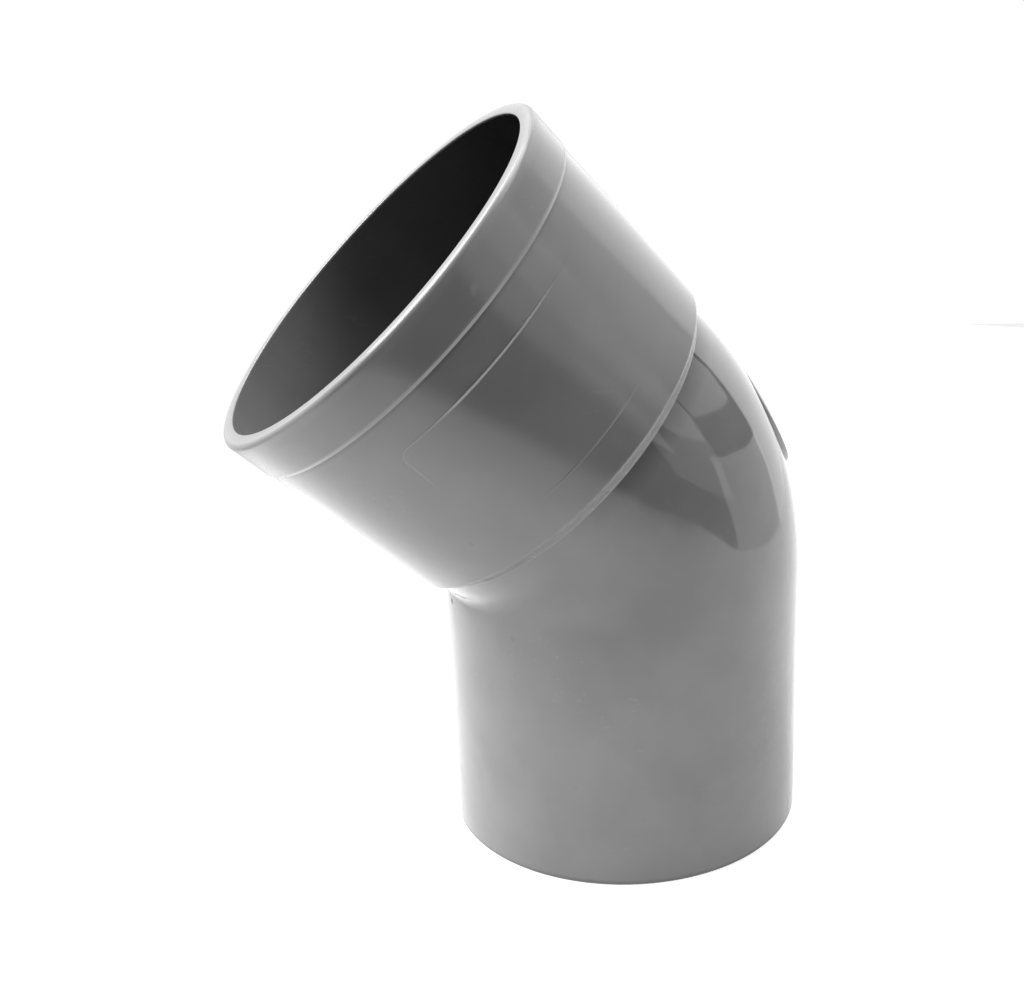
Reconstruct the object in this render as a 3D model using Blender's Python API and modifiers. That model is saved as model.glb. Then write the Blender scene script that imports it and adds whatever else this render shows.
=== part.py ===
"""45 degree male/female elbow for cemented grey PVC waste pipe, in metres, +Z up.

The spigot stands on its end face at z = 0. The socket leans towards -X, in the XZ plane.
The moulding is divided at the lines that its mould leaves on it, with a fine seam at each.
"""
import math

import bmesh
import bpy
from mathutils import Matrix, Vector

# Spigot, the male end
spigot_od = 0.100
spigot_length = 0.0706
spigot_edge_round = 0.0006

# Bend, with the neck that runs on from it into the socket and ends as the pipe stop
wall = 0.0032
throat_radius = 0.0021
bend_angle = math.radians(45)
neck_length = 0.0120

# Socket sleeve, from the sloped shoulder on the neck to the witness line below the mouth
shoulder_overlap = 0.0028
shoulder_wall = 0.0025
shoulder_fall = 0.0025
shoulder_foot = 0.0004
shoulder_round = 0.0012
sleeve_length = 0.0491
witness_wall = 0.0033

# Ring at the mouth, a little proud of the sleeve, with a rounded rim
ring_length = 0.01196
ring_step = 0.00045
mouth_wall = 0.00345
rim_round = 0.0013
lead_in_width = 0.0004
lead_in_depth = 0.0012

# Room round a pipe or spigot in the socket, on its radius
stop_clearance = 0.0003
witness_clearance = 0.0007
mouth_clearance = 0.0014

# Panel for markings on the socket's flank, left bare
panel_from_shoulder = 0.0088
panel_from_witness = 0.0093
panel_width = 0.0612
panel_corner = 0.0030
panel_depth = 0.0011
panel_turn = math.radians(-88.5)

# Low round pad on the heel, whose skin is the bend's own, slid down so that its lower edge stands proud
pad_shift = math.radians(4.5)
pad_level_shift = math.radians(6)
pad_od = 0.0430
pad_slide = 0.0034
pad_depth = 0.0010

# Seam between neighbours, and how finely round shapes are divided
seam = 0.0003
segments = 72
bend_steps = 9
round_steps = 4
cut_margin = 0.0040

# Greys as linear base colours, and the roughness of each finish
spigot_grey = 0.215
bend_grey = 0.205
socket_grey = 0.195
ring_grey = 0.225
pad_grey = 0.13
gloss = 0.30
satin = 0.34
matt = 0.55

spigot_r = spigot_od / 2
bore_r = spigot_r - wall
bend_radius = spigot_r + throat_radius
bend_centre = Vector((-bend_radius, 0, spigot_length))
bend_out = Vector((math.cos(bend_angle), 0, math.sin(bend_angle)))
socket_dir = Vector((-math.sin(bend_angle), 0, math.cos(bend_angle)))
neck_start = bend_centre + bend_radius * bend_out
pad_turn = bend_angle / 2 + pad_shift
pad_level = pad_turn + pad_level_shift
down_heel = Vector((math.sin(pad_level), 0, -math.cos(pad_level)))

# Heights along the socket's axis from the end of the bend, and the radii there
shoulder_height = neck_length - shoulder_overlap
foot_height = shoulder_height - shoulder_fall
witness_height = shoulder_height + sleeve_length
mouth_height = witness_height + ring_length
panel_low = shoulder_height + panel_from_shoulder
panel_high = witness_height - panel_from_witness
stop_bore_r = spigot_r + stop_clearance
witness_bore_r = spigot_r + witness_clearance
mouth_bore_r = spigot_r + mouth_clearance
shoulder_r = stop_bore_r + shoulder_wall
foot_r = stop_bore_r + shoulder_foot
witness_r = witness_bore_r + witness_wall
ring_r = witness_r + ring_step
mouth_r = mouth_bore_r + mouth_wall

# The origin lies on the standing face, under the middle of the whole fitting
rim_reach = (mouth_r - rim_round) * math.cos(bend_angle) + rim_round
left_most = neck_start.x - (mouth_height - rim_round) * math.sin(bend_angle) - rim_reach
middle_x = (left_most + spigot_r) / 2
to_origin = Matrix.Translation((-middle_x, 0, 0))
socket_place = to_origin @ Matrix.Translation(neck_start) @ Matrix.Rotation(-bend_angle, 4, "Y")


def clear_scene():
    for item in list(bpy.data.objects):
        bpy.data.objects.remove(item, do_unlink=True)


def new_collection(name):
    group = bpy.data.collections.new(name)
    bpy.context.scene.collection.children.link(group)
    return group


def grey_plastic(name, level, roughness):
    material = bpy.data.materials.new(name)
    material.use_nodes = True
    shader = material.node_tree.nodes["Principled BSDF"]
    shader.inputs["Base Color"].default_value = (level, level, level, 1)
    shader.inputs["Roughness"].default_value = roughness
    shader.inputs["Metallic"].default_value = 0
    return material


def add_object(name, mesh, group, place):
    item = bpy.data.objects.new(name, mesh)
    item.matrix_world = place
    group.objects.link(item)
    return item


def add_cutter(name, mesh, place):
    item = add_object(name, mesh, cutters, place)
    item.hide_render = True
    item.display_type = "WIRE"
    return item


def boolean(item, operation, other):
    modifier = item.modifiers.new(operation.title(), "BOOLEAN")
    modifier.operation = operation
    modifier.object = other
    modifier.solver = "EXACT"


def outline_mesh(name, profile):
    """A closed outline of (radius, height) points, which runs down its outer side."""
    mesh = bpy.data.meshes.new(name)
    points = [(radius, 0, height) for radius, height in profile]
    edges = [(i, (i + 1) % len(points)) for i in range(len(points))]
    mesh.from_pydata(points, edges, [])
    return mesh


def turn(item):
    screw = item.modifiers.new("Turn", "SCREW")
    screw.axis = "Z"
    screw.angle = math.tau
    screw.steps = segments
    screw.render_steps = segments
    screw.use_merge_vertices = True
    screw.merge_threshold = 0.00001
    return item


def arc(centre_r, centre_h, radius, start, end):
    points = []
    for i in range(round_steps + 1):
        angle = math.radians(start + (end - start) * i / round_steps)
        points.append((centre_r + radius * math.cos(angle), centre_h + radius * math.sin(angle)))
    return points


def straight_between(height, low, high, at_low, at_high):
    return at_low + (at_high - at_low) * (height - low) / (high - low)


def sleeve_radius(height):
    return straight_between(height, shoulder_height, witness_height, shoulder_r, witness_r)


def socket_bore_radius(height):
    return straight_between(height, shoulder_height, witness_height, stop_bore_r, witness_bore_r)


def swept_tube(name, radius):
    """An open tube surface along the bend's centreline and on through the neck."""
    mesh = bpy.data.meshes.new(name)
    work = bmesh.new()
    bmesh.ops.create_circle(work, segments=segments, radius=radius)
    bmesh.ops.translate(work, verts=work.verts, vec=(0, 0, spigot_length))
    swept = bmesh.ops.spin(work, geom=work.edges[:], cent=bend_centre, axis=(0, -1, 0),
                           angle=bend_angle, steps=bend_steps)
    last_ring = [part for part in swept["geom_last"] if isinstance(part, bmesh.types.BMEdge)]
    grown = bmesh.ops.extrude_edge_only(work, edges=last_ring)
    grown_points = [part for part in grown["geom"] if isinstance(part, bmesh.types.BMVert)]
    bmesh.ops.translate(work, verts=grown_points, vec=neck_length * socket_dir)
    bmesh.ops.recalc_face_normals(work, faces=work.faces)
    work.to_mesh(mesh)
    work.free()
    return mesh


def rounded_block(name, width, low, high, near, far):
    """A block along +X with its four long edges rounded, between two heights."""
    mesh = bpy.data.meshes.new(name)
    work = bmesh.new()
    bmesh.ops.create_cube(work, size=1)
    bmesh.ops.scale(work, verts=work.verts, vec=(far - near, width, high - low))
    bmesh.ops.translate(work, verts=work.verts, vec=((near + far) / 2, 0, (low + high) / 2))
    long_edges = [edge for edge in work.edges
                  if abs(edge.verts[0].co.x - edge.verts[1].co.x) > (far - near) / 2]
    bmesh.ops.bevel(work, geom=long_edges, offset=panel_corner, offset_type="OFFSET",
                    segments=round_steps, profile=0.5, affect="EDGES")
    work.to_mesh(mesh)
    work.free()
    return mesh


def band_profile(depth_from, depth_to):
    """A layer of the sleeve's wall that covers the panel, between two depths under its skin."""
    low = panel_low - cut_margin
    high = panel_high + cut_margin
    skin = [(sleeve_radius(high) - depth_to, high), (sleeve_radius(low) - depth_to, low)]
    under = [(sleeve_radius(low) - depth_from, low), (sleeve_radius(high) - depth_from, high)]
    return skin + under


def panel_block(name, gap):
    far = witness_r + cut_margin
    near = math.sqrt(shoulder_r ** 2 - (panel_width / 2) ** 2) - cut_margin
    mesh = rounded_block(name, panel_width - 2 * gap, panel_low + gap, panel_high - gap, near, far)
    place = socket_place @ Matrix.Rotation(panel_turn, 4, "Z")
    return add_cutter(name, mesh, place)


def make_spigot():
    top = spigot_length - seam
    edge = spigot_edge_round
    outer = [(spigot_r, top)] + arc(spigot_r - edge, edge, edge, 0, -90)
    inner = [(bore_r, 0), (bore_r, top)]
    item = add_object("spigot", outline_mesh("spigot", outer + inner), fitting, to_origin)
    item.data.materials.append(grey_plastic("spigot grey", spigot_grey, satin))
    return turn(item)


def give_wall(item, thickness):
    shell = item.modifiers.new("Wall", "SOLIDIFY")
    shell.thickness = thickness
    shell.offset = -1


def make_bend():
    item = add_object("bend", swept_tube("bend", spigot_r), fitting, to_origin)
    item.data.materials.append(grey_plastic("bend grey", bend_grey, gloss))
    give_wall(item, wall)
    pocket = add_cutter("pad_pocket", swept_tube("pad_pocket", spigot_r + cut_margin), to_origin)
    give_wall(pocket, cut_margin + pad_depth)
    boolean(pocket, "INTERSECT", pad_block("pad_outline", pad_od / 2))
    boolean(item, "DIFFERENCE", pocket)
    return item


def make_socket_barrel():
    top = witness_height - seam / 2
    slope = math.atan2(shoulder_r - foot_r, shoulder_fall)
    edge = shoulder_round
    crease = arc(shoulder_r - edge, shoulder_height + edge * math.tan(slope / 2), edge,
                 0, -math.degrees(slope))
    outer = [(sleeve_radius(top), top)] + crease + [(foot_r, foot_height)]
    inner = [(stop_bore_r, foot_height), (stop_bore_r, shoulder_height), (socket_bore_radius(top), top)]
    sleeve = outline_mesh("socket_barrel", outer + inner)
    item = add_object("socket_barrel", sleeve, fitting, socket_place)
    item.data.materials.append(grey_plastic("socket grey", socket_grey, gloss))
    turn(item)
    layer = outline_mesh("panel_pocket", band_profile(panel_depth, -cut_margin))
    pocket = turn(add_cutter("panel_pocket", layer, socket_place))
    boolean(pocket, "INTERSECT", panel_block("panel_outline", 0))
    boolean(item, "DIFFERENCE", pocket)
    return item


def make_marking_panel():
    layer = outline_mesh("marking_panel", band_profile(panel_depth - seam, 0))
    item = turn(add_object("marking_panel", layer, fitting, socket_place))
    item.data.materials.append(grey_plastic("panel grey", socket_grey, satin))
    boolean(item, "INTERSECT", panel_block("panel_inset", seam))
    return item


def make_mouth_ring():
    low = witness_height + seam / 2
    rim = arc(mouth_r - rim_round, mouth_height - rim_round, rim_round, 90, 0)
    lead_in = [(mouth_bore_r - lead_in_width, mouth_height - lead_in_depth), (mouth_bore_r, mouth_height)]
    profile = rim + [(ring_r, low), (socket_bore_radius(low), low)] + lead_in
    item = add_object("mouth_ring", outline_mesh("mouth_ring", profile), fitting, socket_place)
    item.data.materials.append(grey_plastic("mouth grey", ring_grey, satin))
    return turn(item)


def pad_block(name, radius):
    """A cylinder square to the heel, which reaches through the bend's outer wall only."""
    heel = Vector((math.cos(pad_turn), 0, math.sin(pad_turn)))
    high = bend_radius + spigot_r + cut_margin
    low = bend_radius + math.sqrt(spigot_r ** 2 - (pad_od / 2) ** 2) - 2 * cut_margin
    mesh = bpy.data.meshes.new(name)
    work = bmesh.new()
    bmesh.ops.create_cone(work, cap_ends=True, segments=segments, radius1=radius, radius2=radius,
                          depth=high - low)
    work.to_mesh(mesh)
    work.free()
    place = (to_origin @ Matrix.Translation(bend_centre + (low + high) / 2 * heel)
             @ Matrix.Rotation(math.pi / 2 - pad_turn, 4, "Y"))
    return add_cutter(name, mesh, place)


def make_heel_pad():
    item = add_object("heel_pad", swept_tube("heel_pad", spigot_r + cut_margin), fitting, to_origin)
    item.data.materials.append(grey_plastic("pad grey", pad_grey, matt))
    give_wall(item, cut_margin + pad_depth - seam)
    boolean(item, "INTERSECT", pad_block("pad_inset", pad_od / 2 - seam))
    skin_place = to_origin @ Matrix.Translation(pad_slide * down_heel)
    skin = add_cutter("pad_skin", swept_tube("pad_skin", spigot_r), skin_place)
    give_wall(skin, cut_margin)
    boolean(item, "INTERSECT", skin)
    return item


def finish(items):
    """Applies the modifiers and shades the round faces smooth, with their real edges sharp."""
    graph = bpy.context.evaluated_depsgraph_get()
    made = [bpy.data.meshes.new_from_object(item.evaluated_get(graph)) for item in items]
    for item, mesh in zip(items, made):
        item.modifiers.clear()
        item.data = mesh
        mesh.name = item.name
        mesh.shade_smooth()
        mesh.set_sharp_from_angle(angle=math.radians(30))


clear_scene()
fitting = new_collection("pvc_elbow_fitting")
cutters = new_collection("cutters")
pieces = [make_spigot(), make_bend(), make_socket_barrel(), make_marking_panel(), make_mouth_ring(),
          make_heel_pad()]
finish(pieces)
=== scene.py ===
import math
from functools import partial

import bpy
from mathutils import Matrix, Vector


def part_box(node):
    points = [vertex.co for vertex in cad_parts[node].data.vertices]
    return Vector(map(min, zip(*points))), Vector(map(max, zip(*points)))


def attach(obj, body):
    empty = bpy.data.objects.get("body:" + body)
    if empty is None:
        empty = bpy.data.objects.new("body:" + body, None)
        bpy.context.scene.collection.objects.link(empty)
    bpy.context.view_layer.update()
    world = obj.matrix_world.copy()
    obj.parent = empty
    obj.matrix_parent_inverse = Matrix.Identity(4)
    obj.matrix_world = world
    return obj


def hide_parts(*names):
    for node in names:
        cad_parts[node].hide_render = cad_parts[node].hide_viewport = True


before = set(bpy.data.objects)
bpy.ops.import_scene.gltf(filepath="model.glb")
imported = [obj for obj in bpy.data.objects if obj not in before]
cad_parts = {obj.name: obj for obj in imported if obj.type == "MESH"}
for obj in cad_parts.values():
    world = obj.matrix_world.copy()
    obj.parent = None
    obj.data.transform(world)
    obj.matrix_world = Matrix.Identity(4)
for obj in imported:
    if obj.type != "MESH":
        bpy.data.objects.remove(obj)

scene = bpy.context.scene
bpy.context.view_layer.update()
spigotLow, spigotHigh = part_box("spigot")

# the pipe run that every piece lies on; heights follow its centreline up from the standing end
run = {
    "axisX": (spigotLow.x + spigotHigh.x) / 2,
    "radius": 0.0500,
    "wall": 0.0032,
    "bendStart": 0.0706,
    "bendRadius": 0.0521,
    "bendAngle": math.radians(45),
}
run["bore"] = run["radius"] - run["wall"]
run["bendLength"] = run["bendRadius"] * run["bendAngle"]
run["bendEnd"] = run["bendStart"] + run["bendLength"]

# how the turned pieces are cut; the path only carries an outline round the axis
turning = {"segments": 256, "pathRadius": 0.01, "roundSteps": 6, "sharpAngle": math.radians(38)}


def onRun(height, turn, radius):
    # a point of the bent run, turn 0 on the heel side and a half turn on the throat side
    along = height - run["bendStart"]
    onArc = min(max(along, 0), run["bendLength"])
    past = along - onArc
    angle = onArc / run["bendRadius"]
    reach = run["bendRadius"] + radius * math.cos(turn)
    x = reach * math.cos(angle) - past * math.sin(angle) - run["bendRadius"]
    z = reach * math.sin(angle) + past * math.cos(angle)
    return Vector((x + run["axisX"], radius * math.sin(turn), z + run["bendStart"]))


# helpers for node trees

def newTree(name, inputs, outputs, kind="GeometryNodeTree"):
    tree = bpy.data.node_groups.new(name, kind)
    for label, socketType, value in inputs:
        socket = tree.interface.new_socket(label, in_out="INPUT", socket_type=socketType)
        if value is not None:
            socket.default_value = value
    for label, socketType in outputs:
        tree.interface.new_socket(label, in_out="OUTPUT", socket_type=socketType)
    return tree, tree.nodes.new("NodeGroupInput").outputs, tree.nodes.new("NodeGroupOutput").inputs


def numberInputs(sizes):
    return [(label, "NodeSocketFloat", value) for label, value in sizes.items()]


def feed(tree, target, value):
    if isinstance(value, bpy.types.NodeSocket):
        tree.links.new(value, target)
    elif value is not None:
        target.default_value = value


def put(tree, kind, inputs, **settings):
    node = tree.nodes.new(kind)
    for key, value in settings.items():
        setattr(node, key, value)
    for key, value in inputs.items():
        feed(tree, node.inputs[key], value)
    return node


def calc(tree, operation, *values):
    return put(tree, "ShaderNodeMath", dict(enumerate(values)), operation=operation).outputs[0]


def splitXyz(tree, vector):
    return put(tree, "ShaderNodeSeparateXYZ", {0: vector}).outputs


def joinXyz(tree, x, y, z):
    return put(tree, "ShaderNodeCombineXYZ", {0: x, 1: y, 2: z}).outputs[0]


def reachAlong(tree, place, start, direction):
    # how far a place lies from the start along a direction
    apart = put(tree, "ShaderNodeVectorMath", {0: place, 1: start}, operation="SUBTRACT").outputs[0]
    dot = put(tree, "ShaderNodeVectorMath", {0: apart, 1: direction}, operation="DOT_PRODUCT")
    return dot.outputs["Value"]


def ramp(tree, value, fromLow, fromHigh, toLow, toHigh, smooth=True):
    inputs = {"Value": value, "From Min": fromLow, "From Max": fromHigh,
              "To Min": toLow, "To Max": toHigh}
    kind = "SMOOTHSTEP" if smooth else "LINEAR"
    return put(tree, "ShaderNodeMapRange", inputs, interpolation_type=kind).outputs["Result"]


# geometry trees

def makeBendRule():
    sizes = {"Start": run["bendStart"], "Radius": run["bendRadius"], "Angle": run["bendAngle"],
             "Axis X": run["axisX"]}
    inputs = [("Straight", "NodeSocketVector", None)] + numberInputs(sizes)
    tree, get, result = newTree("bendRule", inputs, [("Bent", "NodeSocketVector")])
    m = partial(calc, tree)
    x, y, z = splitXyz(tree, get["Straight"])
    along = m("SUBTRACT", z, get["Start"])
    length = m("MULTIPLY", get["Radius"], get["Angle"])
    onArc = m("MINIMUM", m("MAXIMUM", along, 0.0), length)
    past = m("SUBTRACT", along, onArc)
    turned = m("DIVIDE", onArc, get["Radius"])
    sine, cosine = m("SINE", turned), m("COSINE", turned)
    reach = m("ADD", get["Radius"], x)
    bentX = m("SUBTRACT", m("MULTIPLY", reach, cosine), m("MULTIPLY", past, sine))
    bentX = m("ADD", m("SUBTRACT", bentX, get["Radius"]), get["Axis X"])
    bentZ = m("ADD", m("MULTIPLY", reach, sine), m("MULTIPLY", past, cosine))
    bentZ = m("ADD", bentZ, get["Start"])
    feed(tree, result["Bent"], joinXyz(tree, bentX, y, bentZ))
    return tree


bendRule = makeBendRule()


def hereXyz(tree):
    return splitXyz(tree, tree.nodes.new("GeometryNodeInputPosition").outputs[0])


def turnedCurve(tree, profile, segments, pathRadius):
    ring = {"Resolution": segments, "Radius": pathRadius}
    circle = put(tree, "GeometryNodeCurvePrimitiveCircle", ring)
    upright = put(tree, "GeometryNodeSetCurveNormal", {"Curve": circle.outputs[0]}, mode="Z_UP")
    inputs = {"Curve": upright.outputs[0], "Profile Curve": profile}
    return put(tree, "GeometryNodeCurveToMesh", inputs).outputs[0]


def closeTree(tree, result, geometry, straight, material):
    # every piece is made along the straight run, then bent, smoothed and given its finish
    bent = put(tree, "GeometryNodeGroup", {}, node_tree=bendRule)
    feed(tree, bent.inputs["Straight"], straight)
    inputs = {"Geometry": geometry, "Position": bent.outputs["Bent"]}
    placed = put(tree, "GeometryNodeSetPosition", inputs).outputs[0]
    smooth = put(tree, "GeometryNodeSetShadeSmooth", {"Geometry": placed}).outputs[0]
    real = put(tree, "GeometryNodeRealizeInstances", {"Geometry": smooth}).outputs[0]
    done = put(tree, "GeometryNodeSetMaterial", {"Geometry": real, "Material": material}).outputs[0]
    feed(tree, result["Geometry"], done)


def makeTurnedPipe():
    inputs = [("Geometry", "NodeSocketGeometry", None),
              ("Segments", "NodeSocketInt", turning["segments"])]
    inputs += numberInputs({"Path Radius": turning["pathRadius"]})
    inputs += [("Material", "NodeSocketMaterial", None)]
    tree, get, result = newTree("turnedPipe", inputs, [("Geometry", "NodeSocketGeometry")])
    profile = put(tree, "GeometryNodeMeshToCurve", {"Mesh": get["Geometry"]}).outputs[0]
    shell = turnedCurve(tree, profile, get["Segments"], get["Path Radius"])
    outward = put(tree, "GeometryNodeFlipFaces", {"Mesh": shell}).outputs[0]
    here = tree.nodes.new("GeometryNodeInputPosition").outputs[0]
    closeTree(tree, result, outward, here, get["Material"])
    return tree


def makeWrappedPanel():
    sizes = ["Width", "Length", "Corner", "Ridge Width", "Ridge Height", "Low Ridge", "Side Ridge",
             "Top Start", "Top End", "Low End", "Fade", "Lift", "Depth", "Turn", "Middle", "Radius",
             "Draft"]
    inputs = [("Across", "NodeSocketInt", 160), ("Along", "NodeSocketInt", 100)]
    inputs += numberInputs({**dict.fromkeys(sizes, 0.0), "Merge": 0.00001})
    inputs += [("Material", "NodeSocketMaterial", None)]
    tree, get, result = newTree("wrappedPanel", inputs, [("Geometry", "NodeSocketGeometry")])
    m = partial(calc, tree)

    # a slab with both coordinates from -1 to 1, its underside at 0 and its face at 1
    cells = {"Size X": 2.0, "Size Y": 2.0, "Vertices X": get["Across"], "Vertices Y": get["Along"]}
    grid = put(tree, "GeometryNodeMeshGrid", cells).outputs[0]
    under = put(tree, "GeometryNodeFlipFaces", {"Mesh": grid}).outputs[0]
    raised = {"Mesh": grid, "Offset": (0, 0, 1), "Individual": False}
    over = put(tree, "GeometryNodeExtrudeMesh", raised).outputs[0]
    join = tree.nodes.new("GeometryNodeJoinGeometry")
    for half in (under, over):
        tree.links.new(half, join.inputs[0])
    merged = {"Geometry": join.outputs[0], "Distance": get["Merge"]}
    slab = put(tree, "GeometryNodeMergeByDistance", merged).outputs[0]

    # a sine packs its rows towards the edges, and the rows draw in round the corners
    u, v, w = hereXyz(tree)
    packed = [m("SINE", m("MULTIPLY", axis, math.pi / 2)) for axis in (u, v)]
    halfWidth = m("MULTIPLY", get["Width"], 0.5)
    halfLength = m("MULTIPLY", get["Length"], 0.5)
    x = m("MULTIPLY", halfWidth, packed[0])
    farX = m("ABSOLUTE", x)
    inCorner = m("MAXIMUM", m("SUBTRACT", farX, m("SUBTRACT", halfWidth, get["Corner"])), 0.0)
    drop = m("SQRT", m("SUBTRACT", m("POWER", get["Corner"], 2.0), m("POWER", inCorner, 2.0)))
    reach = m("ADD", m("SUBTRACT", halfLength, get["Corner"]), drop)
    y = m("MULTIPLY", reach, packed[1])

    # the fine ridge just inside the edge, worn away but for the top edge and the middle of the low one
    edge = m("MINIMUM", m("SUBTRACT", reach, m("ABSOLUTE", y)), m("SUBTRACT", halfWidth, farX))
    share = m("MINIMUM", m("DIVIDE", edge, get["Ridge Width"]), 1.0)
    upper = ramp(tree, packed[1], 0.0, 1.0, 0.0, 1.0)
    lower = ramp(tree, packed[1], 0.0, -1.0, 0.0, get["Low Ridge"])

    def fadeIn(distance, least=0.0):
        return ramp(tree, distance, 0.0, get["Fade"], least, 1.0)

    toRight = fadeIn(m("SUBTRACT", get["Top End"], packed[0]))
    toLeft = fadeIn(m("SUBTRACT", packed[0], get["Top Start"]), get["Side Ridge"])
    toSides = fadeIn(m("SUBTRACT", get["Low End"], m("ABSOLUTE", packed[0])))
    kept = m("MULTIPLY", upper, m("MULTIPLY", toRight, toLeft))
    kept = m("MULTIPLY_ADD", lower, toSides, kept)
    profile = m("MULTIPLY", m("COSINE", m("MULTIPLY", share, math.pi / 2)), kept)
    ridge = m("MULTIPLY", profile, get["Ridge Height"])
    # painted highlight: the ridge is lightened in colour along its profile
    ridgeHighlight = {"Geometry": slab, "Name": "paintedLightAndWear", "Value": m("MULTIPLY", profile, w)}
    perPoint = {"data_type": "FLOAT", "domain": "POINT"}
    slab = put(tree, "GeometryNodeStoreNamedAttribute", ridgeHighlight, **perPoint).outputs[0]
    face = m("ADD", get["Lift"], ridge)
    z = m("SUBTRACT", m("MULTIPLY", w, m("ADD", face, get["Depth"])), get["Depth"])

    # laid round the drafted sleeve
    radius = m("ADD", m("MULTIPLY_ADD", get["Draft"], y, get["Radius"]), z)
    angle = m("ADD", get["Turn"], m("ARCSINE", m("DIVIDE", x, radius)))
    straight = joinXyz(tree, m("MULTIPLY", radius, m("COSINE", angle)),
                       m("MULTIPLY", radius, m("SINE", angle)), m("ADD", get["Middle"], y))
    closeTree(tree, result, slab, straight, get["Material"])
    return tree


def makeWrappedPad():
    sizes = {"Path Radius": turning["pathRadius"], "Pipe Radius": run["radius"],
             "Bend Radius": run["bendRadius"], "Bend Start": run["bendStart"], "Heel Angle": 0.0,
             "Level Angle": 0.0, "Slide": 0.0, "Depth": 0.001, "Least Lift": 0.0, "Merge": 0.000002}
    inputs = [("Geometry", "NodeSocketGeometry", None), ("Segments", "NodeSocketInt", 160)]
    inputs += numberInputs(sizes)
    inputs += [("Material", "NodeSocketMaterial", None)]
    tree, get, result = newTree("wrappedPad", inputs, [("Geometry", "NodeSocketGeometry")])
    m = partial(calc, tree)
    profile = put(tree, "GeometryNodeMeshToCurve", {"Mesh": get["Geometry"]}).outputs[0]
    disc = turnedCurve(tree, profile, get["Segments"], get["Path Radius"])
    merged = {"Geometry": disc, "Distance": get["Merge"]}
    disc = put(tree, "GeometryNodeMergeByDistance", merged).outputs[0]

    # the flat disc is laid on the heel of the bend
    x, y, z = hereXyz(tree)
    skin = m("ADD", get["Pipe Radius"], z)
    angle = m("ARCSINE", m("DIVIDE", y, skin))
    reach = m("MULTIPLY_ADD", skin, m("COSINE", angle), get["Bend Radius"])
    swing = m("SUBTRACT", get["Heel Angle"], m("ARCSINE", m("DIVIDE", x, reach)))
    height = m("MULTIPLY_ADD", get["Bend Radius"], swing, get["Bend Start"])

    # its face is the bend's own skin slid down the heel, so that it stands out at the lower end
    slid = m("MULTIPLY", get["Slide"], m("SINE", m("SUBTRACT", get["Level Angle"], swing)))
    lift = m("MAXIMUM", m("MULTIPLY", slid, m("COSINE", angle)), get["Least Lift"])
    share = m("DIVIDE", m("ADD", z, get["Depth"]), get["Depth"])
    radius = m("MULTIPLY_ADD", lift, share, skin)
    straight = joinXyz(tree, m("MULTIPLY", radius, m("COSINE", angle)),
                       m("MULTIPLY", radius, m("SINE", angle)), height)
    closeTree(tree, result, disc, straight, get["Material"])
    return tree


turnedPipe = makeTurnedPipe()
wrappedPanel = makeWrappedPanel()
wrappedPad = makeWrappedPad()
print("trees ready")


def setInput(modifier, label, value):
    for item in modifier.node_group.interface.items_tree:
        if item.item_type == "SOCKET" and item.in_out == "INPUT" and item.name == label:
            modifier[item.identifier] = value
            return
    raise ValueError(label)


def buildPiece(name, mesh, tree, values):
    piece = bpy.data.objects.new(name, mesh)
    scene.collection.objects.link(piece)
    modifier = piece.modifiers.new("nodes", "NODES")
    modifier.node_group = tree
    for label, value in values.items():
        setInput(modifier, label, value)
    bpy.context.view_layer.update()
    evaluated = piece.evaluated_get(bpy.context.evaluated_depsgraph_get())
    made = bpy.data.meshes.new_from_object(evaluated)
    piece.modifiers.clear()
    piece.data = made
    made.name = name
    made.shade_smooth()
    made.set_sharp_from_angle(angle=turning["sharpAngle"])
    return piece


# outlines of turned pieces

def corner(radius, height, bevel=0.0, wear=0.0, lightAndWearAfter=None, bore=0.0):
    # a rounded corner's painted light and wear may change from the start of the round to its end
    lightAndWearAfter = wear if lightAndWearAfter is None else lightAndWearAfter
    return {"at": Vector((radius, height)), "bevel": bevel, "wear": wear, "lightAndWearAfter": lightAndWearAfter,
            "bore": bore}


def beside(first, second, reach):
    # a bare point on the way from one corner to the next, where the painted light and wear have run out
    step = (second["at"] - first["at"]).normalized() * reach
    return {**corner(0, 0), "at": first["at"] + step}


def roundCorners(corners):
    outline = []
    steps = turning["roundSteps"]
    for i, here in enumerate(corners):
        size = here["bevel"]
        if size <= 0:
            outline.append(here)
            continue
        toBefore = (corners[i - 1]["at"] - here["at"]).normalized()
        toAfter = (corners[(i + 1) % len(corners)]["at"] - here["at"]).normalized()
        half = toBefore.angle(toAfter) / 2
        start = here["at"] + toBefore * size / math.tan(half)
        end = here["at"] + toAfter * size / math.tan(half)
        centre = here["at"] + (toBefore + toAfter).normalized() * size / math.sin(half)
        for k in range(steps + 1):
            spoke = (start - centre).lerp(end - centre, k / steps).normalized()
            wear = here["wear"] + (here["lightAndWearAfter"] - here["wear"]) * k / steps
            outline.append({**here, "at": centre + spoke * size, "wear": wear})
    return outline


def divideLong(outline, longest, closed=True):
    fine = []
    for here, following in zip(outline, outline[1:] + outline[:1] * closed):
        pieces = max(1, math.ceil((following["at"] - here["at"]).length / longest))
        for k in range(pieces):
            share = k / pieces
            point = {key: here[key] + (following[key] - here[key]) * share for key in ("wear", "bore")}
            fine.append({**point, "at": here["at"].lerp(following["at"], share)})
    return fine if closed else fine + outline[-1:]


def outlineMesh(name, outline, closed=True):
    mesh = bpy.data.meshes.new(name)
    points = [(point["at"].x - turning["pathRadius"], -point["at"].y, 0) for point in outline]
    edges = [(i, (i + 1) % len(points)) for i in range(len(points) if closed else len(points) - 1)]
    mesh.from_pydata(points, edges, [])
    for label, key in (("paintedLightAndWear", "wear"), ("boreShade", "bore")):
        attribute = mesh.attributes.new(label, "FLOAT", "POINT")
        attribute.data.foreach_set("value", [point[key] for point in outline])
    return mesh


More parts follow.
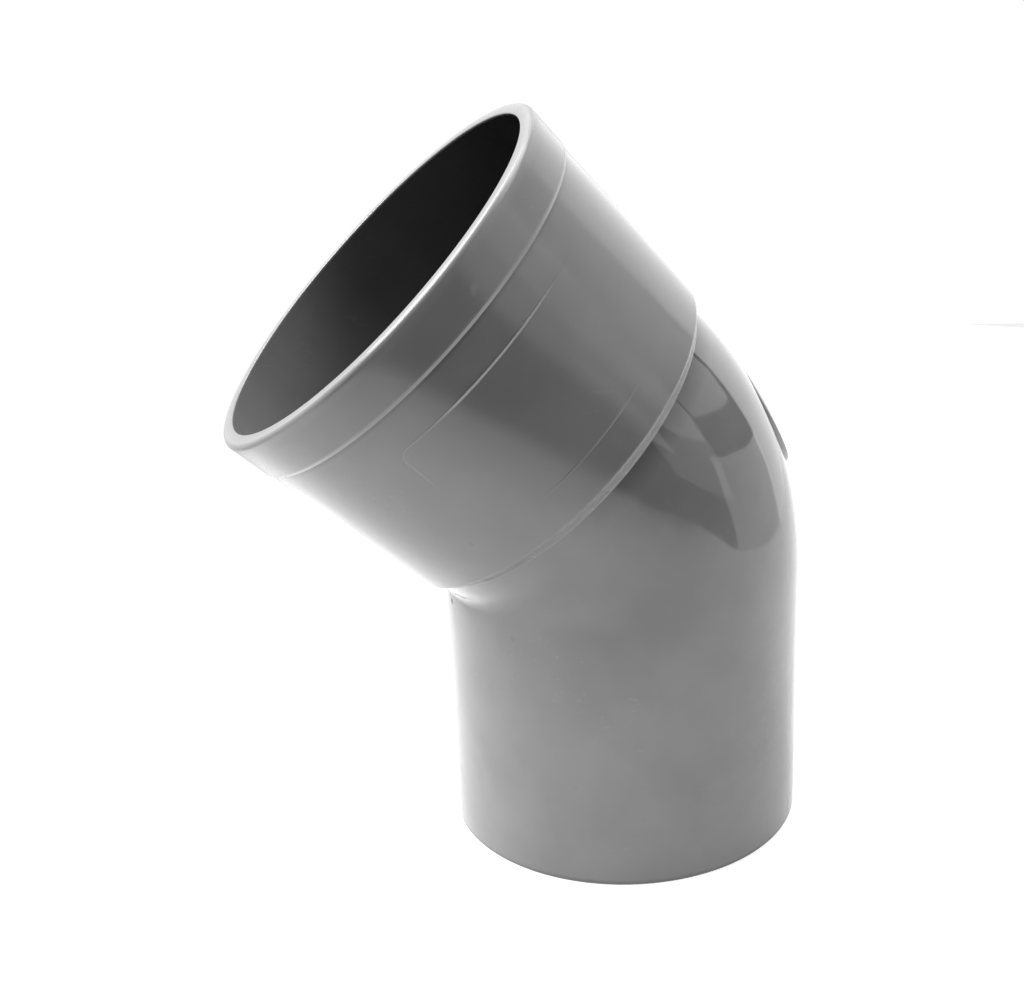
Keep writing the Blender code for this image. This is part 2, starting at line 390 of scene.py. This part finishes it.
def turnPiece(name, corners, longest, material):
    mesh = outlineMesh(name, divideLong(roundCorners(corners), longest))
    return buildPiece(name, mesh, turnedPipe, {"Material": material})


def dress(piece, slot, *nodes):
    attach(piece, "root")
    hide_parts(*nodes)
    print("made", piece.name, len(piece.data.polygons), "faces")


# finishes: how fine each noise is, and the span of it that shows
grain = {
    "waveDetail": 1.0, "peelDetail": 2.0, "mottleDetail": 4.0, "mottleSpan": (0.3, 0.7),
    "speckLeast": 0.02, "speckSpan": (0.6, 1.0), "speckChance": 0.72,
    "lineTurn": (0.5, 0.3, 0.7), "lineScale": (60, 900, 900), "lineDetail": 1.0, "lineSpan": (0.66, 0.74),
    "patchDetail": 2.0, "patchSpan": (0.52, 0.66), "hazeSpan": (0.3, 0.7),
    "tornScale": 1.2, "tornDetail": 3.0, "tornReach": 2,
}


def makeMouldedSkin():
    sizes = {"Mottle Size": 0.022, "Wave Size": 0.016, "Wave Depth": 0.00005, "Peel Size": 0.0012,
             "Peel Depth": 0.0000012}
    inputs = [("Place", "NodeSocketVector", None)] + numberInputs(sizes)
    outputs = [("Mottle", "NodeSocketFloat"), ("Height", "NodeSocketFloat")]
    tree, get, result = newTree("mouldedSkin", inputs, outputs, "ShaderNodeTree")
    m = partial(calc, tree)

    def cloud(size, detail):
        inputs = {"Vector": get["Place"], "Scale": m("DIVIDE", 1.0, size), "Detail": detail}
        return put(tree, "ShaderNodeTexNoise", inputs).outputs[0]

    wave = m("MULTIPLY", cloud(get["Wave Size"], grain["waveDetail"]), get["Wave Depth"])
    peel = m("MULTIPLY", cloud(get["Peel Size"], grain["peelDetail"]), get["Peel Depth"])
    mottle = cloud(get["Mottle Size"], grain["mottleDetail"])
    feed(tree, result["Mottle"], ramp(tree, mottle, *grain["mottleSpan"], 0.0, 1.0))
    feed(tree, result["Height"], m("ADD", wave, peel))
    return tree


def makeHandlingMarks():
    sizes = {"Speck Spacing": 0.012, "Speck Size": 0.10, "Scuff Size": 0.03}
    inputs = [("Place", "NodeSocketVector", None)] + numberInputs(sizes)
    outputs = [("Speck", "NodeSocketFloat"), ("Scuff", "NodeSocketFloat"), ("Haze", "NodeSocketFloat")]
    tree, get, result = newTree("handlingMarks", inputs, outputs, "ShaderNodeTree")
    m = partial(calc, tree)

    # about one cell in four holds a speck, each of its own size
    cells = {"Vector": get["Place"], "Scale": m("DIVIDE", 1.0, get["Speck Spacing"])}
    spots = put(tree, "ShaderNodeTexVoronoi", cells)
    chance = splitXyz(tree, spots.outputs["Color"])
    size = m("MULTIPLY_ADD", get["Speck Size"], chance[1], grain["speckLeast"])
    share = m("DIVIDE", spots.outputs["Distance"], size)
    speck = ramp(tree, share, *grain["speckSpan"], 1.0, 0.0)
    speck = m("MULTIPLY", speck, m("GREATER_THAN", chance[0], grain["speckChance"]))

    # fine rubbed lines that show only in patches
    stretch = {"Vector": get["Place"], "Rotation": grain["lineTurn"], "Scale": grain["lineScale"]}
    stretched = put(tree, "ShaderNodeMapping", stretch).outputs[0]
    fine = {"Vector": stretched, "Scale": 1.0, "Detail": grain["lineDetail"]}
    lines = put(tree, "ShaderNodeTexNoise", fine).outputs[0]
    clouds = {"Vector": get["Place"], "Scale": m("DIVIDE", 1.0, get["Scuff Size"]),
              "Detail": grain["patchDetail"]}
    patch = put(tree, "ShaderNodeTexNoise", clouds).outputs[0]
    rubbed = ramp(tree, lines, *grain["lineSpan"], 0.0, 1.0)
    scuff = m("MULTIPLY", rubbed, ramp(tree, patch, *grain["patchSpan"], 0.0, 1.0))
    feed(tree, result["Speck"], speck)
    feed(tree, result["Scuff"], scuff)
    feed(tree, result["Haze"], ramp(tree, patch, *grain["hazeSpan"], 0.0, 1.0))
    return tree


mouldedSkin = makeMouldedSkin()
handlingMarks = makeHandlingMarks()


def paintedBoreShade(tree, place, fade):
    # painted shade: the bore's colour is darkened towards its roof, which lies in its own shade, while
    # the floor of it opens to the light and keeps its colour
    middle = onRun(run["bendEnd"], 0.0, 0.0)
    upward = (onRun(run["bendEnd"], 0.0, run["radius"]) - middle).normalized()
    height = reachAlong(tree, place, middle, upward)
    return ramp(tree, height, fade["low"], fade["high"], 1.0, fade["least"])


def spotMask(tree, place, spot):
    # a spot with a torn edge
    reach = grain["tornReach"] * spot["size"]
    gap = put(tree, "ShaderNodeVectorMath", {0: place, 1: spot["place"]}, operation="DISTANCE")
    noise = {"Vector": place, "Scale": grain["tornScale"] / spot["size"], "Detail": grain["tornDetail"]}
    torn = put(tree, "ShaderNodeTexNoise", noise)
    ragged = calc(tree, "MULTIPLY_ADD", torn.outputs[0], reach, gap.outputs["Value"])
    return ramp(tree, ragged, spot["size"], reach, 1.0, 0.0)


def pvcFinish(name, look):
    material = bpy.data.materials.new(name)
    material.use_nodes = True
    tree = material.node_tree
    m = partial(calc, tree)
    shader = tree.nodes["Principled BSDF"].inputs
    place = tree.nodes.new("ShaderNodeTexCoord").outputs["Object"]
    skin = put(tree, "ShaderNodeGroup", {}, node_tree=mouldedSkin)
    marks = put(tree, "ShaderNodeGroup", {}, node_tree=handlingMarks)
    for node in (skin, marks):
        feed(tree, node.inputs["Place"], place)
    for label, value in look["skin"].items():
        skin.inputs[label].default_value = value
    wear = put(tree, "ShaderNodeAttribute", {}, attribute_name="paintedLightAndWear").outputs["Fac"]
    bore = put(tree, "ShaderNodeAttribute", {}, attribute_name="boreShade").outputs["Fac"]

    rough = ramp(tree, marks.outputs["Haze"], 0.0, 1.0, look["rough"][0], look["rough"][1], smooth=False)
    rough = m("MULTIPLY_ADD", marks.outputs["Scuff"], look["scuffRough"], rough)
    rough = m("MULTIPLY_ADD", bore, look["boreRough"], rough)
    rough = m("MULTIPLY_ADD", m("MAXIMUM", wear, 0.0), look["edgeRough"], rough)
    grey = ramp(tree, skin.outputs["Mottle"], 0.0, 1.0, look["dark"], look["light"], smooth=False)
    # painted highlight and wear: the edge attribute lightens the rim, the shoulder slope, the witness
    # step, the panel ridge and the pad's edge; below zero it darkens the spigot's standing edge and, as
    # painted shade, the sleeve under the band's step
    grey = m("MULTIPLY_ADD", wear, look["edgeLift"], grey)
    grey = m("MULTIPLY_ADD", marks.outputs["Scuff"], look["scuffLift"], grey)
    grey = m("MULTIPLY_ADD", marks.outputs["Speck"], -look["speckDrop"], grey)
    for spot in look["spots"]:
        mask = spotMask(tree, place, spot)
        grey = m("MULTIPLY_ADD", mask, spot["shift"], grey)
        rough = m("MULTIPLY_ADD", mask, spot["rough"], rough)
    # painted shade: the bore's colour darkens towards its roof
    shade = paintedBoreShade(tree, place, look["paintedBoreShade"])
    grey = m("MULTIPLY", grey, ramp(tree, bore, 0.0, 1.0, 1.0, shade, smooth=False))
    feed(tree, shader["Base Color"], joinXyz(tree, grey, grey, grey))

    feed(tree, shader["Roughness"], rough)
    shader["IOR"].default_value = look["ior"]
    shader["Specular IOR Level"].default_value = look["specular"]
    bump = {"Height": skin.outputs["Height"], "Strength": 1.0, "Distance": 1.0}
    feed(tree, shader["Normal"], put(tree, "ShaderNodeBump", bump).outputs[0])
    return material


glossLook = {"dark": 0.176, "light": 0.204, "edgeLift": 0.10, "scuffLift": 0.02, "speckDrop": 0.012,
             "rough": (0.05, 0.09), "scuffRough": 0.06, "boreRough": -0.08, "edgeRough": 0.25,
             "paintedBoreShade": {"low": -0.032, "high": 0.022, "least": 0.1},
             "ior": 1.54, "specular": 0.5, "skin": {"Wave Depth": 0.0001, "Wave Size": 0.013},
             "spots": []}
satinLook = {**glossLook, "rough": (0.13, 0.20), "skin": {"Wave Depth": 0.00006}}
mattLook = {**glossLook, "dark": 0.21, "light": 0.24, "edgeLift": 0.20, "speckDrop": 0.01,
            "rough": (0.29, 0.34), "scuffRough": 0.0, "edgeRough": 0.0,
            "skin": {"Peel Size": 0.0005, "Peel Depth": 0.000012}}

# marks that sit in one place: a pit and a hazy patch by the throat, and a rub on the mouth band; the pit
# is painted shade, a dark spot standing in for a recess the mesh doesn't have
paintedPit = {"place": onRun(0.0686, math.radians(-178), run["radius"]), "size": 0.0010, "shift": -0.17,
       "rough": 0.5}
rub = {"place": onRun(run["bendEnd"] + 0.0628, math.radians(-82), 0.0546), "size": 0.0018,
       "shift": 0.05, "rough": 0.0}
haze = {"place": onRun(0.0840, math.radians(-175), run["radius"]), "size": 0.0280, "shift": 0.0,
        "rough": 0.15}

bodyPvc = pvcFinish("bodyPvc", {**glossLook, "spots": [paintedPit, haze]})
socketPvc = pvcFinish("socketPvc", {**satinLook, "spots": [rub]})
panelPvc = pvcFinish("panelPvc", {**satinLook, "edgeLift": 0.25})
padPvc = pvcFinish("padPvc", mattLook)
print("finishes ready")

# spigot
spigot = {"edgeRound": 0.0006, "innerRound": 0.0004, "footDark": -0.6, "footDarkReach": 0.0015, "step": 0.004}
top = run["bendStart"]
spigotTop = corner(run["radius"], top)
# the spigot's standing edge is darker in colour, fading out over a short reach
spigotEdge = corner(run["radius"], 0, spigot["edgeRound"], wear=spigot["footDark"])
spigotPiece = turnPiece("spigot_end", [
    spigotTop,
    corner(run["bore"], top, bore=1),
    corner(run["bore"], 0, spigot["innerRound"], bore=1),
    spigotEdge,
    beside(spigotEdge, spigotTop, spigot["footDarkReach"]),
], spigot["step"], bodyPvc)
dress(spigotPiece, "body_pvc", "spigot")

# bend with its neck, which ends as the pipe stop
bend = {"neck": 0.0120, "stopRound": 0.0003, "step": 0.0007}
neckEnd = run["bendEnd"] + bend["neck"]
bendPiece = turnPiece("swept_bend", [
    corner(run["radius"], neckEnd, bend["stopRound"], bore=1),
    corner(run["bore"], neckEnd, bend["stopRound"], bore=1),
    corner(run["bore"], top, bore=1),
    corner(run["radius"], top),
    corner(run["radius"], run["bendEnd"]),
], bend["step"], bodyPvc)
dress(bendPiece, "body_pvc", "bend")

# socket sleeve, whose sloped shoulder runs out under the skin of the neck
# the shoulder slope and the foot round carry painted highlight and wear; the sleeve just under the band's
# step carries painted shade
sleeve = {"foot": 0.0062, "shoulder": 0.0092, "witness": 0.0583, "shoulderRadius": 0.0528,
          "witnessRadius": 0.0540, "stopBore": 0.0503, "witnessBore": 0.0507, "shoulderRound": 0.0012,
          "footRound": 0.0012, "graze": 0.00002, "feather": 0.0010, "sink": 0.0003, "slopeLightAndWear": 0.5,
          "creaseLightAndWear": 0.1, "lightAndWearReach": 0.0008, "paintedStepShade": -0.6, "paintedStepShadeReach": 0.0014,
          "stopGap": 0.0001, "step": 0.004}


def alongSleeve(height, low, high):
    share = (height - sleeve["shoulder"]) / (sleeve["witness"] - sleeve["shoulder"])
    return low + (high - low) * share


shoulder = run["bendEnd"] + sleeve["shoulder"]
witness = run["bendEnd"] + sleeve["witness"]
foot = run["bendEnd"] + sleeve["foot"]
inNeck = run["radius"] - sleeve["sink"]
onNeck = run["radius"] - sleeve["graze"]
stopBore = alongSleeve(bend["neck"], sleeve["stopBore"], sleeve["witnessBore"])
stopHeight = neckEnd - sleeve["stopGap"]
# painted shade: the sleeve's top, under the band's step, is darkened in colour
sleeveTop = corner(sleeve["witnessRadius"], witness, wear=sleeve["paintedStepShade"])
# painted highlight and wear along the sloped shoulder
crease = corner(sleeve["shoulderRadius"], shoulder, sleeve["shoulderRound"], wear=sleeve["slopeLightAndWear"],
                lightAndWearAfter=sleeve["creaseLightAndWear"])
sleevePiece = turnPiece("socket_sleeve", [
    sleeveTop,
    corner(sleeve["witnessBore"], witness, bore=1),
    corner(stopBore, stopHeight, bore=1),
    corner(inNeck, stopHeight),
    corner(inNeck, foot - sleeve["feather"] - sleeve["sink"]),
    corner(onNeck, foot - sleeve["feather"]),
    corner(onNeck, foot, sleeve["footRound"], wear=sleeve["slopeLightAndWear"]),
    crease,
    beside(crease, sleeveTop, sleeve["lightAndWearReach"]),
    beside(sleeveTop, crease, sleeve["paintedStepShadeReach"]),
], sleeve["step"], socketPvc)
dress(sleevePiece, "socket_pvc", "socket_barrel")

# band at the mouth
# the rim, its flank and lip and the witness step carry painted highlight and wear
band = {"mouth": 0.07026, "lowRadius": 0.05445, "mouthRadius": 0.05485, "mouthBore": 0.0509,
        "rimRound": 0.0013, "rimLightAndWear": 0.6, "flankLightAndWear": 0.3, "rimReach": 0.0034,
        "innerRound": 0.0003, "lipLightAndWear": 0.1, "boreFrom": 0.0008,
        "stepRound": 0.0002, "stepLightAndWear": 0.6, "stepHigh": 0.0005, "stepLow": 0.0005,
        "stepSink": 0.0001, "stepReach": 0.0006, "step": 0.004}
mouth = run["bendEnd"] + band["mouth"]
# painted highlight and wear on the rim
rim = corner(band["mouthRadius"], mouth, band["rimRound"], wear=band["flankLightAndWear"],
             lightAndWearAfter=band["rimLightAndWear"])
lip = corner(band["mouthBore"], mouth, band["innerRound"], wear=band["lipLightAndWear"])
# painted highlight and wear along the witness step
witnessStep = corner(band["lowRadius"], witness + band["stepHigh"], band["stepRound"],
                     wear=band["stepLightAndWear"])
bandPiece = turnPiece("mouth_band", [
    rim,
    lip,
    corner(band["mouthBore"], mouth - band["boreFrom"], bore=1),
    corner(sleeve["witnessBore"], witness, bore=1),
    corner(sleeve["witnessRadius"] - band["stepSink"], witness - band["stepLow"],
           wear=band["stepLightAndWear"]),
    witnessStep,
    beside(witnessStep, rim, band["stepReach"]),
    beside(rim, witnessStep, band["rimReach"]),
], band["step"], socketPvc)
dress(bandPiece, "socket_pvc", "mouth_ring")

# bare panel on the flank, inside a fine raised outline
panel = {"low": 0.0180, "high": 0.0493, "width": 0.0612, "corner": 0.0030, "turn": math.radians(-88.5),
         "ridgeWidth": 0.0006, "ridgeHeight": 0.00013, "lowRidge": 0.4, "sideRidge": 0.2,
         "topStart": -0.75, "topEnd": 0.7, "lowEnd": 0.6, "fade": 0.35, "lift": 0.00003, "depth": 0.0006}
panelMiddle = (panel["low"] + panel["high"]) / 2
draft = ((sleeve["witnessRadius"] - sleeve["shoulderRadius"])
         / (sleeve["witness"] - sleeve["shoulder"]))
panelPiece = buildPiece("bare_panel", bpy.data.meshes.new("bare_panel"), wrappedPanel, {
    "Width": panel["width"], "Length": panel["high"] - panel["low"], "Corner": panel["corner"],
    "Ridge Width": panel["ridgeWidth"], "Ridge Height": panel["ridgeHeight"],
    "Low Ridge": panel["lowRidge"], "Side Ridge": panel["sideRidge"], "Top Start": panel["topStart"],
    "Top End": panel["topEnd"], "Low End": panel["lowEnd"], "Fade": panel["fade"],
    "Lift": panel["lift"], "Depth": panel["depth"], "Turn": panel["turn"],
    "Middle": run["bendEnd"] + panelMiddle,
    "Radius": alongSleeve(panelMiddle, sleeve["shoulderRadius"], sleeve["witnessRadius"]),
    "Draft": draft, "Material": panelPvc})
dress(panelPiece, "panel_pvc", "marking_panel")

# low round pad on the heel, flush at its upper end
pad = {"radius": 0.0228, "heel": math.radians(27), "level": math.radians(35), "slide": 0.0052,
       "leastLift": -0.0003, "depth": 0.0005, "edgeRound": 0.0002, "paintedLightAndWear": 1.0, "lightAndWearReach": 0.0024,
       "step": 0.0007}
padMiddle = corner(0, 0)
# painted highlight and wear on the pad's edge
padEdge = corner(pad["radius"], 0, pad["edgeRound"], wear=pad["paintedLightAndWear"])
padOutline = roundCorners([
    padMiddle,
    beside(padEdge, padMiddle, pad["lightAndWearReach"]),
    padEdge,
    corner(pad["radius"], -pad["depth"], wear=pad["paintedLightAndWear"]),
    corner(0, -pad["depth"]),
])
padOutline = divideLong(padOutline, pad["step"], closed=False)
padMesh = outlineMesh("heel_disc", padOutline, closed=False)
padPiece = buildPiece("heel_disc", padMesh, wrappedPad, {
    "Heel Angle": pad["heel"], "Level Angle": pad["level"], "Slide": pad["slide"], "Depth": pad["depth"],
    "Least Lift": pad["leastLift"], "Material": padPvc})
dress(padPiece, "pad_pvc", "heel_pad")

# camera at the photograph's viewpoint
view = {"position": (-0.12141 + run["axisX"], -0.29353, 0.18609), "right": (0.92884, -0.36988, -0.02081),
        "up": (0.12395, 0.25734, 0.95834), "forward": (0.34912, 0.89273, -0.28487),
        "lens": 41.7756, "sensor": 36.0, "shiftX": -0.083645, "clipStart": 0.01}
lens = bpy.data.cameras.new("camera")
lens.sensor_fit = "HORIZONTAL"
lens.sensor_width = view["sensor"]
lens.lens = view["lens"]
lens.shift_x = view["shiftX"]
lens.clip_start = view["clipStart"]
camera = bpy.data.objects.new("camera", lens)
scene.collection.objects.link(camera)
turnTo = Matrix((view["right"], view["up"], -Vector(view["forward"]))).transposed()
camera.matrix_world = Matrix.Translation(view["position"]) @ turnTo.to_4x4()
scene.camera = camera

# studio: azimuth 0 is behind the fitting, 90 to its right, 180 on the camera's side
studio = {
    "lit": Vector((run["axisX"], -0.02, 0.1)),
    "floorX": (-0.9, 0.42), "floorY": (-0.42, 0.9), "floorTurn": math.radians(-24),
    "floorFront": {"dims": (0.14, 0.27), "least": 0.5, "ends": (0.235, 0.29)},
    "floorBack": {"azimuth": 315, "ends": (0.16, 0.30)},
    "floorSide": {"azimuth": 270, "spans": (-0.20, 0.05), "least": 0.5},
    "floorGrey": 0.8, "floorLift": 0.66, "worldSeen": 1.0, "worldFill": 0.1, "lampDistance": 0.9,
    "softboxes": {
        "keyLight": {"azimuths": (262, 318), "elevations": (32, 62), "brightness": 12.5},
        "rightWall": {"azimuths": (28, 79), "elevations": (-16, 45), "brightness": 0.89},
        "rightCard": {"azimuths": (78, 122), "elevations": (-22, 5), "distance": 0.8, "brightness": 1.1},
        "rightUpper": {"azimuths": (84, 117), "elevations": (14, 50), "brightness": 1.11},
        "frontLow": {"azimuths": (117, 142), "elevations": (-4, 8), "brightness": 0.59},
        "frontRight": {"azimuths": (118, 136), "elevations": (8, 50), "brightness": 1.42},
        "frontMiddle": {"azimuths": (136, 154), "elevations": (2, 50), "brightness": 0.91},
        "topLight": {"azimuths": (0, 90), "elevations": (62, 90), "brightness": 4.0},
    },
    "flag": {"azimuths": (80, 252), "elevations": (-60, 80), "distance": 1.3, "grey": 0.03},
}
scene.view_settings.view_transform = "Standard"


def towards(azimuth, elevation):
    az, el = math.radians(azimuth), math.radians(elevation)
    return Vector((math.sin(az) * math.cos(el), math.cos(az) * math.cos(el), math.sin(el)))


def seenRay(tree):
    path = tree.nodes.new("ShaderNodeLightPath").outputs
    mirrored = calc(tree, "MAXIMUM", path["Is Glossy Ray"], path["Is Transmission Ray"])
    return calc(tree, "MAXIMUM", path["Is Camera Ray"], mirrored)


def makeFloor():
    mesh = bpy.data.meshes.new("floor")
    (left, right), (near, far) = studio["floorX"], studio["floorY"]
    turn = Matrix.Rotation(studio["floorTurn"], 3, "Z")
    middle = Vector((run["axisX"], 0, 0))
    corners = ((left, near, 0), (right, near, 0), (right, far, 0), (left, far, 0))
    mesh.from_pydata([turn @ Vector(point) + middle for point in corners], [], [(0, 1, 2, 3)])
    floor = bpy.data.objects.new("floor", mesh)
    scene.collection.objects.link(floor)
    paint = bpy.data.materials.new("floorPaint")
    paint.use_nodes = True
    tree = paint.node_tree
    tree.nodes.clear()
    matt = put(tree, "ShaderNodeBsdfDiffuse", {"Color": (studio["floorGrey"],) * 3 + (1,)}).outputs[0]
    place = tree.nodes.new("ShaderNodeTexCoord").outputs["Object"]
    reachTo = partial(reachAlong, tree, place, middle)
    side = studio["floorSide"]
    sideLift = ramp(tree, reachTo(towards(side["azimuth"], 0)), *side["spans"], side["least"], 1.0)
    lift = calc(tree, "MULTIPLY", seenRay(tree), sideLift)
    lift = calc(tree, "MULTIPLY", lift, studio["floorLift"])
    glow = put(tree, "ShaderNodeEmission", {"Strength": lift}).outputs[0]
    both = put(tree, "ShaderNodeAddShader", {0: matt, 1: glow}).outputs[0]

    # the floor fades out behind the fitting and towards the camera, as its reflection in the flank does
    depth = reachTo(turn @ Vector((0, -1, 0)))
    front = studio["floorFront"]
    shown = ramp(tree, depth, *front["dims"], 1.0, front["least"], smooth=False)
    shown = calc(tree, "MULTIPLY", shown, ramp(tree, depth, *front["ends"], 1.0, 0.0))
    back = studio["floorBack"]
    away = reachTo(towards(back["azimuth"], 0))
    shown = calc(tree, "MULTIPLY", shown, ramp(tree, away, *back["ends"], 1.0, 0.0))
    clear = tree.nodes.new("ShaderNodeBsdfTransparent").outputs[0]
    faded = put(tree, "ShaderNodeMixShader", {0: shown, 1: clear, 2: both}).outputs[0]
    put(tree, "ShaderNodeOutputMaterial", {"Surface": faded})
    mesh.materials.append(paint)


def makeWorld():
    scene.world = bpy.data.worlds.new("studio")
    scene.world.use_nodes = True
    tree = scene.world.node_tree
    tree.nodes.clear()
    level = ramp(tree, seenRay(tree), 0.0, 1.0, studio["worldFill"], studio["worldSeen"], smooth=False)
    glow = put(tree, "ShaderNodeBackground", {"Color": (1, 1, 1, 1), "Strength": level}).outputs[0]
    put(tree, "ShaderNodeOutputWorld", {"Surface": glow})


def softbox(name, box):
    (az0, az1), (el0, el1) = box["azimuths"], box["elevations"]
    distance = box.get("distance", studio["lampDistance"])
    middle = towards((az0 + az1) / 2, (el0 + el1) / 2)
    light = bpy.data.lights.new(name, "AREA")
    light.shape = "RECTANGLE"
    light.size = 2 * distance * math.tan(math.radians(az1 - az0) / 2)
    light.size_y = 2 * distance * math.tan(math.radians(el1 - el0) / 2)
    light.energy = box["brightness"] * math.pi * light.size * light.size_y
    lamp = bpy.data.objects.new(name, light)
    scene.collection.objects.link(lamp)
    facing = middle.to_track_quat("Z", "Y").to_matrix().to_4x4()
    lamp.matrix_world = Matrix.Translation(studio["lit"] + distance * middle) @ facing
    lamp.visible_camera = False


def darkFlag(name, board, columns=24, rows=12):
    (az0, az1), (el0, el1) = board["azimuths"], board["elevations"]
    points = []
    for j in range(rows + 1):
        for i in range(columns + 1):
            spot = towards(az0 + (az1 - az0) * i / columns, el0 + (el1 - el0) * j / rows)
            points.append(studio["lit"] + board["distance"] * spot)
    starts = [j * (columns + 1) + i for j in range(rows) for i in range(columns)]
    faces = [(k, k + 1, k + columns + 2, k + columns + 1) for k in starts]
    mesh = bpy.data.meshes.new(name)
    mesh.from_pydata(points, [], faces)
    flag = bpy.data.objects.new(name, mesh)
    scene.collection.objects.link(flag)
    paint = bpy.data.materials.new(name)
    paint.use_nodes = True
    shader = paint.node_tree.nodes["Principled BSDF"].inputs
    shader["Base Color"].default_value = (board["grey"],) * 3 + (1,)
    shader["Roughness"].default_value = 1
    shader["Specular IOR Level"].default_value = 0
    mesh.materials.append(paint)
    flag.visible_camera = False


makeFloor()
makeWorld()
for name, box in studio["softboxes"].items():
    softbox(name, box)
darkFlag("frontFlag", studio["flag"])
print("studio ready")
